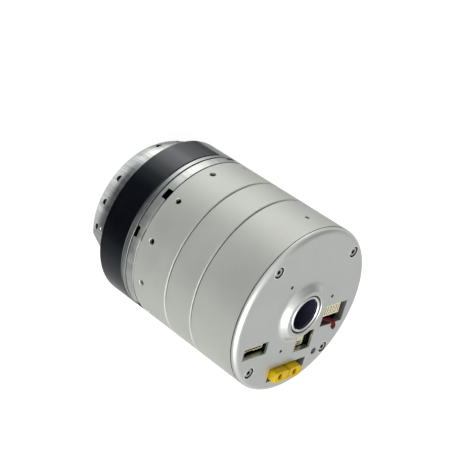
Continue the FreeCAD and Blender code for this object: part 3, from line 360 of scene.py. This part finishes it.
def flange_hole_shade(m, col, gloss):
    """Painted shade: the radial holes of the flange are painted near black a little way in."""
    r, a, z = m.polar()
    skin = m.math("SUBTRACT", r, m.math("MULTIPLY_ADD", z, 0.33, 25.22 * MM))
    painted_hole = m.both(m.remap(skin, -0.00002, 0.00002, 1.0, 0.0), m.inside(z, 3.1 * MM, 5.8 * MM))
    x, y, zz = m.split().outputs
    turn = math.radians(217.3)
    toward = m.math("ADD", m.math("MULTIPLY", x, math.cos(turn)), m.math("MULTIPLY", y, math.sin(turn)))
    painted_hole = m.both(painted_hole, m.remap(toward, 22.70 * MM, 22.80 * MM, 1.0, 0.0))
    return m.mix(painted_hole, col, (0.01, 0.01, 0.01)), gloss


M["turned_aluminium"] = turned("turned_aluminium", (0.70, 0.72, 0.70), (0.52, 0.54, 0.53), 1600.0, (0.24, 0.34), 0.7, 1.0, 0.2)
SPLINE = turned("brushed_ring", (0.86, 0.88, 0.86), (0.74, 0.76, 0.75), 1600.0, (0.30, 0.40), 0.78, 1.0, 0.40, notch_shadow)
FLANGE = turned("brushed_flange", (0.84, 0.86, 0.85), (0.70, 0.72, 0.71), 1600.0, (0.20, 0.28), 0.72, 1.0, 0.62, flange_hole_shade)


def plain_metal(name, base, dark, rough, scale=1500.0, bump=0.2, metallic=1.0, colour_and_painted_light=None):
    m = Mat(name)
    n = m.noise(m.coords(), scale, 4.0, 0.6)
    w = m.noise(m.coords(), 160.0, 3.0, 0.6)
    col = m.mix(m.remap(w, 0.3, 0.7, 0.0, 1.0), dark, base)
    m.color(colour_and_painted_light(m, col) if colour_and_painted_light else col)
    m.rough(m.remap(n, 0.3, 0.7, rough[0], rough[1]))
    m.set(Metallic=metallic)
    m.bump(n, bump, 0.00001)
    return m.m


def socket_shade(m, col):
    """Painted shade: the sockets and the valley between the lobes are painted brown, darker in the sockets, for the
    shade of their depth.
    """
    x, y, z = m.split().outputs
    well = m.both(m.near([(-3.6, -22.85), (3.6, -22.85)], 1.42 * MM), m.inside(z, 60.0 * MM, 77.95 * MM, 0.0001))
    valley = m.inside(x, 0.02 * MM, 0.68 * MM, 0.0002)
    col = m.mix(m.math("MULTIPLY", valley, 0.3), col, (0.16, 0.06, 0.001))
    return m.mix(well, col, (0.09, 0.018, 0.002))


def plastic(name, base, dark, rough, scale=900.0, spec=0.5, coat=0.0, colour_and_painted_light=None):
    m = Mat(name)
    n = m.noise(m.coords(), scale, 3.0, 0.6)
    w = m.noise(m.coords(), 220.0, 2.0, 0.5)
    col = m.mix(m.remap(w, 0.3, 0.7, 0.0, 1.0), dark, base)
    m.color(colour_and_painted_light(m, col) if colour_and_painted_light else col)
    m.rough(m.remap(n, 0.3, 0.7, rough[0], rough[1]))
    m.set(Metallic=0.0)
    m.b.inputs["Specular IOR Level"].default_value = spec
    m.b.inputs["Coat Weight"].default_value = coat
    m.bump(n, 0.15, 0.00001)
    return m.m


M["black_anodised"] = turned("black_anodised", (0.0022, 0.0026, 0.0050), (0.0012, 0.0014, 0.0030), 1600.0, (0.12, 0.19), 0.1)
black = M["black_anodised"].node_tree.nodes["Principled BSDF"]
black.inputs["Specular Tint"].default_value = (0.88, 0.93, 1.0, 1)
black.inputs["Metallic"].default_value = 0.0
black.inputs["Specular IOR Level"].default_value = 0.72
M["bearing_steel"] = turned("bearing_steel", (0.66, 0.67, 0.68), (0.50, 0.51, 0.52), 1600.0, (0.16, 0.28))
M["spring_steel"] = plain_metal("spring_steel", (0.58, 0.58, 0.57), (0.45, 0.45, 0.45), (0.22, 0.36))
M["stainless_screw"] = plain_metal("stainless_screw", (0.62, 0.61, 0.58), (0.48, 0.47, 0.45), (0.20, 0.34), 2600.0)


def screw_socket_shade(m, col):
    x, y, z = m.split().outputs
    # painted shade: the hex socket below the top face is near black
    return m.mix(m.inside(z, 60.0 * MM, 75.52 * MM), col, (0.008, 0.008, 0.008))


CAP_SCREW = plain_metal("cap_screw_steel", (0.60, 0.61, 0.59), (0.50, 0.51, 0.49), (0.28, 0.36), 2600.0, colour_and_painted_light=screw_socket_shade)
def tube_bore(m, col, gloss):
    """The bore is dark blue-black anodised below a bright faced mouth."""
    r, a, z = m.polar()
    inner = m.inside(r, 0.0, 5.75 * MM)
    mouth = m.both(inner, m.inside(z, 76.9 * MM, 77.9 * MM, 0.0001))
    bore = m.both(inner, m.remap(z, 77.0 * MM, 76.85 * MM, 0.0, 1.0))
    speck = m.noise(m.coords(), 2600.0, 2.0, 0.6)
    m.link(m.remap(bore, 0.0, 1.0, 1.0, 0.15), m.b.inputs["Metallic"])
    col = m.mix(mouth, col, (0.80, 0.82, 0.86))
    col = m.mix(bore, col, m.mix(m.remap(speck, 0.35, 0.65, 0.0, 1.0), (0.006, 0.007, 0.018), (0.022, 0.025, 0.050)))
    return col, m.math("ADD", gloss, m.math("MULTIPLY", bore, 0.35))


M["polished_tube"] = turned("polished_tube", (0.90, 0.90, 0.90), (0.80, 0.80, 0.81), 1600.0, (0.12, 0.18), 0.3, colour_and_painted_light=tube_bore)
M["silicon_steel"] = plain_metal("silicon_steel", (0.30, 0.31, 0.33), (0.20, 0.21, 0.23), (0.35, 0.5))
M["copper"] = plain_metal("copper", (0.72, 0.30, 0.12), (0.50, 0.18, 0.07), (0.25, 0.42))
M["magnet_nickel"] = plain_metal("magnet_nickel", (0.62, 0.60, 0.56), (0.50, 0.48, 0.45), (0.18, 0.3))
M["encoder_magnet"] = plastic("encoder_magnet", (0.05, 0.05, 0.055), (0.03, 0.03, 0.035), (0.45, 0.6))
M["friction_lining"] = plastic("friction_lining", (0.10, 0.09, 0.08), (0.05, 0.045, 0.04), (0.7, 0.9), 700.0)
M["brake_iron"] = plain_metal("brake_iron", (0.22, 0.22, 0.23), (0.14, 0.14, 0.15), (0.4, 0.6))
M["seal_rubber"] = plastic("seal_rubber", (0.02, 0.02, 0.02), (0.012, 0.012, 0.012), (0.5, 0.7))
M["circuit_board"] = plastic("circuit_board", (0.010, 0.045, 0.016), (0.005, 0.022, 0.008), (0.4, 0.6), 500.0, 0.2)
M["chip_black"] = plastic("chip_black", (0.02, 0.02, 0.022), (0.012, 0.012, 0.013), (0.4, 0.55))
M["connector_yellow"] = plastic("connector_yellow", (0.58, 0.40, 0.003), (0.50, 0.32, 0.002), (0.30, 0.40), 700.0, 0.22,
                                colour_and_painted_light=socket_shade)
def sunk_shade(top):
    def colour_and_painted_light(m, col):
        """Painted shade: moulded slots are painted brown below the face they are cut in."""
        x, y, z = m.split().outputs
        return m.mix(m.inside(z, 60.0 * MM, (top - 0.09) * MM, 0.00003), col, (0.05, 0.035, 0.018))
    return colour_and_painted_light


cream = ((0.66, 0.62, 0.44), (0.58, 0.54, 0.37), (0.45, 0.55), 900.0, 0.2)
M["connector_cream"] = plastic("connector_cream", *cream)
CREAM_LOW = plastic("connector_cream_low", *cream, colour_and_painted_light=sunk_shade(73.75))
CREAM_HIGH = plastic("connector_cream_ways", *cream, colour_and_painted_light=sunk_shade(75.4))
M["jumper_red"] = plastic("jumper_red", (0.12, 0.0015, 0.004), (0.06, 0.001, 0.002), (0.42, 0.54), 900.0, 0.12)
M["gold_contact"] = plain_metal("gold_contact", (0.60, 0.36, 0.13), (0.42, 0.22, 0.07), (0.22, 0.34))
M["light_lens"] = plastic("light_lens", lin(30, 31, 84), lin(18, 18, 54), (0.12, 0.2), 700.0, 0.6, 0.5)

slot_of = {s["node"]: s["material_slot"] for s in frame["record"]["subparts"]}
THIN = turned("thin_ring", (0.66, 0.68, 0.66), (0.50, 0.52, 0.51), 1600.0, (0.24, 0.34), 0.7, 1.0, 0.2, thin_ring_edge_shade)
own = {"rear_cap": CAP, "bearing_clamp_ring": THIN, "circular_spline": SPLINE, "output_flange": FLANGE, "cap_screws": CAP_SCREW,
       "flange_set_screws": plain_metal("dark_set_screw", (0.16, 0.16, 0.165), (0.09, 0.09, 0.095), (0.3, 0.42))}
for name, obj in nodes.items():
    mat = own.get(name, M[slot_of[name]])
    obj.data.materials.clear()
    obj.data.materials.append(mat)


# ---------------------------------------------------------------- connector pieces
def moulding(name, outline, holes, z0, z1, edge, mat, offset=True):
    """A moulded block: the outline and its holes carried from z0 to z1 (mm) with rounded rims."""
    cu = bpy.data.curves.new(name + "_curve", "CURVE")
    cu.dimensions = "2D"
    cu.fill_mode = "BOTH"
    cu.extrude = (z1 - z0) / 2 * MM - edge * MM
    cu.bevel_depth = edge * MM
    cu.bevel_resolution = 3
    cu.offset = -edge * MM if offset else 0.0
    for loop in (outline if isinstance(outline[0], list) else [outline]) + holes:
        sp = cu.splines.new("POLY")
        sp.points.add(len(loop) - 1)
        for p, (x, y) in zip(sp.points, loop):
            p.co = (x * MM, y * MM, 0, 1)
        sp.use_cyclic_u = True
    tmp = bpy.data.objects.new(name + "_tmp", cu)
    scene.collection.objects.link(tmp)
    tmp.location = (0, 0, (z0 + z1) / 2 * MM)
    bpy.context.view_layer.update()
    me = bpy.data.meshes.new_from_object(tmp.evaluated_get(bpy.context.evaluated_depsgraph_get()))
    me.transform(tmp.matrix_world)
    bpy.data.objects.remove(tmp)
    bpy.data.curves.remove(cu)
    bm = bmesh.new()
    bm.from_mesh(me)
    bmesh.ops.remove_doubles(bm, verts=bm.verts, dist=0.002 * MM)
    bmesh.ops.dissolve_degenerate(bm, edges=bm.edges, dist=0.002 * MM)
    bmesh.ops.recalc_face_normals(bm, faces=bm.faces)
    bm.to_mesh(me)
    bm.free()
    me.name = name
    ob = bpy.data.objects.new(name, me)
    scene.collection.objects.link(ob)
    me.materials.clear()
    me.materials.append(mat)
    for poly in me.polygons:
        poly.use_smooth = True
    me.set_sharp_from_angle(angle=math.radians(32))
    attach(ob, "housing")
    return ob


def ring(cx, cy, r, n=28):
    return [(cx + r * math.cos(2 * math.pi * k / n), cy + r * math.sin(2 * math.pi * k / n)) for k in range(n)]


def box_loop(x0, y0, x1, y1):
    return [(x0, y0), (x1, y0), (x1, y1), (x0, y1)]


# Two-pole power connector: rounded lobes, a broad valley between them, small sockets.
def lobe_outline():
    x0, x1, y0, y1 = -6.7, 7.35, -25.2, -20.8
    left = [(x0 + 1.5, y0), (-1.2, y0), (-0.5, y0 + 0.2), (0.1, y0 + 0.42), (0.6, y0 + 0.42), (1.2, y0 + 0.2), (1.9, y0)]
    right = [(x1 - 1.9, y0), (x1 - 0.9, y0 + 0.5), (x1, y0 + 1.5), (x1, y1 - 1.5), (x1 - 0.9, y1 - 0.6), (x1 - 2.1, y1)]
    top = [(1.9, y1), (1.2, y1 - 0.2), (0.6, y1 - 0.42), (0.1, y1 - 0.42), (-0.5, y1 - 0.2), (-1.2, y1)]
    end = [(x0 + 1.5, y1), (x0 + 0.5, y1 - 0.4), (x0, y1 - 1.3), (x0, y0 + 1.3), (x0 + 0.5, y0 + 0.4)]
    return left + right + top + end


power = moulding("power_shell", lobe_outline(), [ring(-3.6, -22.85, 1.12), ring(3.6, -22.85, 1.12)], 69.6, 78.19, 0.34,
                 M["connector_yellow"])
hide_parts("power_connector")

# Six-way bus connector and two-way auxiliary connector: moulded noses with their contact slots and latch lines.
bus = moulding("bus_header", [(-23.9, -11.6), (-20.3, -11.6), (-20.1, -11.35), (-17.1, -11.35), (-16.9, -11.6), (-12.4, -11.6), (-12.4, -7.4),
                              (-23.9, -7.4)],
               [box_loop(-22.9, -11.12, -13.2, -10.6)], 69.6, 73.75, 0.06, CREAM_LOW)
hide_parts("bus_connector")
aux = moulding("aux_header", box_loop(2.6, -16.0, 8.9, -10.4), [box_loop(3.2, -15.66, 8.3, -15.22), box_loop(3.2, -14.85, 8.3, -14.41)],
               69.6, 73.75, 0.06, CREAM_LOW)
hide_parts("aux_connector")
ways = [box_loop(x, -5.75, x + 2.55, -1.7) for x in (13.8, 16.6, 19.4)]
gaps = [box_loop(x + d, -5.2, x + d + 0.4, -2.2) for x in (13.8, 16.6, 19.4) for d in (0.5, 1.6)]
option = moulding("option_ways", ways, gaps, 69.6, 75.4, 0.06, CREAM_HIGH)
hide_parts("option_header")


# ---------------------------------------------------------------- studio
def area(name, loc, target, size, power, color=(1, 1, 1), size_y=None, spread=None):
    d = bpy.data.lights.new(name, "AREA")
    d.energy = power
    d.color = color
    d.size = size
    if size_y:
        d.shape = "RECTANGLE"
        d.size_y = size_y
    if spread:
        d.spread = math.radians(spread)
    o = bpy.data.objects.new(name, d)
    o.location = loc
    o.rotation_euler = (Vector(target) - Vector(loc)).to_track_quat("-Z", "Y").to_euler()
    scene.collection.objects.link(o)
    return o


mesh = bpy.data.meshes.new("studio_floor")
e = 3.0
mesh.from_pydata([(-e, -e, 0), (e, -e, 0), (e, e, 0), (-e, e, 0)], [], [(0, 1, 2, 3)])
floor = bpy.data.objects.new("studio_floor", mesh)
scene.collection.objects.link(floor)
fm = Mat("studio_floor")
fm.set(Base_Color=(0.25, 0.25, 0.25, 1), Roughness=0.9)
fm.b.inputs["Emission Color"].default_value = (1, 1, 1, 1)
fm.b.inputs["Emission Strength"].default_value = 0.86
mesh.materials.append(fm.m)
floor.visible_glossy = False

# The studio: one tent of soft panels round the part.  Each band of height has its own soft panels, named by
# the compass direction, in degrees from +X, that they stand in.
GREEN = (0.86, 1.0, 0.92)
LOW = [(0, 0.42), (15, 0.24), (31, 0.60), (47, 1.05), (63, 2.0), (79, 1.7), (95, 0.85), (111, 0.28, GREEN), (131, 0.06, GREEN),
       (159, 0.04, GREEN), (190, 0.03, GREEN), (210, 0.06, GREEN), (225, 0.22, GREEN), (255, 0.36), (271, 0.42), (303, 0.50), (330, 0.52),
       (345, 0.50)]
HIGH = [(0, 0.50), (30, 0.30), (70, 0.42), (110, 0.8), (160, 1.2), (190, 3.4), (238, 3.2), (262, 1.1), (300, 0.66), (329, 0.61)]

world = bpy.data.worlds.new("studio")
scene.world = world
world.use_nodes = True
wt = world.node_tree
wt.nodes.clear()


def wnode(kind, **settings):
    n = wt.nodes.new("ShaderNode" + kind)
    for k, v in settings.items():
        setattr(n, k, v)
    return n


def wmath(op, a, b=None):
    n = wnode("Math", operation=op)
    for i, v in enumerate((a, b)):
        if v is None:
            continue
        if hasattr(v, "links"):
            wt.links.new(v, n.inputs[i])
        else:
            n.inputs[i].default_value = v
    return n.outputs[0]


def panels(value, stops, top):
    n = wnode("ValToRGB")
    n.color_ramp.interpolation = "EASE"
    el = n.color_ramp.elements
    stops = [(s[0] / 360.0, [c * s[1] / top for c in (s[2] if len(s) > 2 else (1, 1, 0.985))]) for s in stops]
    stops.append((1.0, stops[0][1]))
    while len(el) < len(stops):
        el.new(0.5)
    for k, (pos, c) in enumerate(stops):
        el[k].position = pos
        el[k].color = (c[0], c[1], c[2], 1)
    wt.links.new(value, n.inputs[0])
    return n.outputs[0]


def smooth(value, a, b):
    n = wnode("MapRange", interpolation_type="SMOOTHSTEP")
    n.inputs[1].default_value, n.inputs[2].default_value = a, b
    n.inputs[3].default_value, n.inputs[4].default_value = 0.0, 1.0
    wt.links.new(value, n.inputs[0])
    return n.outputs[0]


def blend(w, a, b):
    n = wnode("Mix", data_type="RGBA")
    wt.links.new(w, n.inputs[0])
    for k, v in ((6, a), (7, b)):
        if hasattr(v, "links"):
            wt.links.new(v, n.inputs[k])
        else:
            n.inputs[k].default_value = (v / TOP, v / TOP, v / TOP, 1)
    return n.outputs[2]


sep = wnode("SeparateXYZ")
wt.links.new(wnode("TexCoord").outputs["Generated"], sep.inputs[0])
wx, wy, wz = sep.outputs
turn = wmath("FRACT", wmath("ADD", wmath("DIVIDE", wmath("ARCTAN2", wy, wx), 2 * math.pi), 1.0))
rise = wmath("DIVIDE", wmath("ARCSINE", wz), math.pi / 2)          # -1 below, 0 level, 1 overhead
TOP = 4.0
low = panels(turn, LOW, TOP)
high = panels(turn, HIGH, TOP)
FLOOR_GLOW, LEVEL_GLOW, ROOF_GLOW = 0.85, 0.8, 0.9
v = blend(smooth(rise, -0.72, -0.55), FLOOR_GLOW, low)
v = blend(smooth(rise, -0.24, -0.06), v, LEVEL_GLOW)
v = blend(smooth(rise, 0.06, 0.24), v, high)
v = blend(smooth(rise, 0.68, 0.85), v, ROOF_GLOW)
glow = wnode("Background")
glow.inputs[1].default_value = TOP
wt.links.new(v, glow.inputs[0])
plain = wnode("Background")
plain.inputs[0].default_value = (1, 1, 1, 1)
plain.inputs[1].default_value = 1.0
seen = wnode("LightPath")
both = wnode("MixShader")
wt.links.new(seen.outputs["Is Camera Ray"], both.inputs[0])
wt.links.new(glow.outputs[0], both.inputs[1])
wt.links.new(plain.outputs[0], both.inputs[2])
wout = wnode("OutputWorld")
wt.links.new(both.outputs[0], wout.inputs[0])

scene.view_settings.view_transform = "Standard"
scene.view_settings.look = "None"
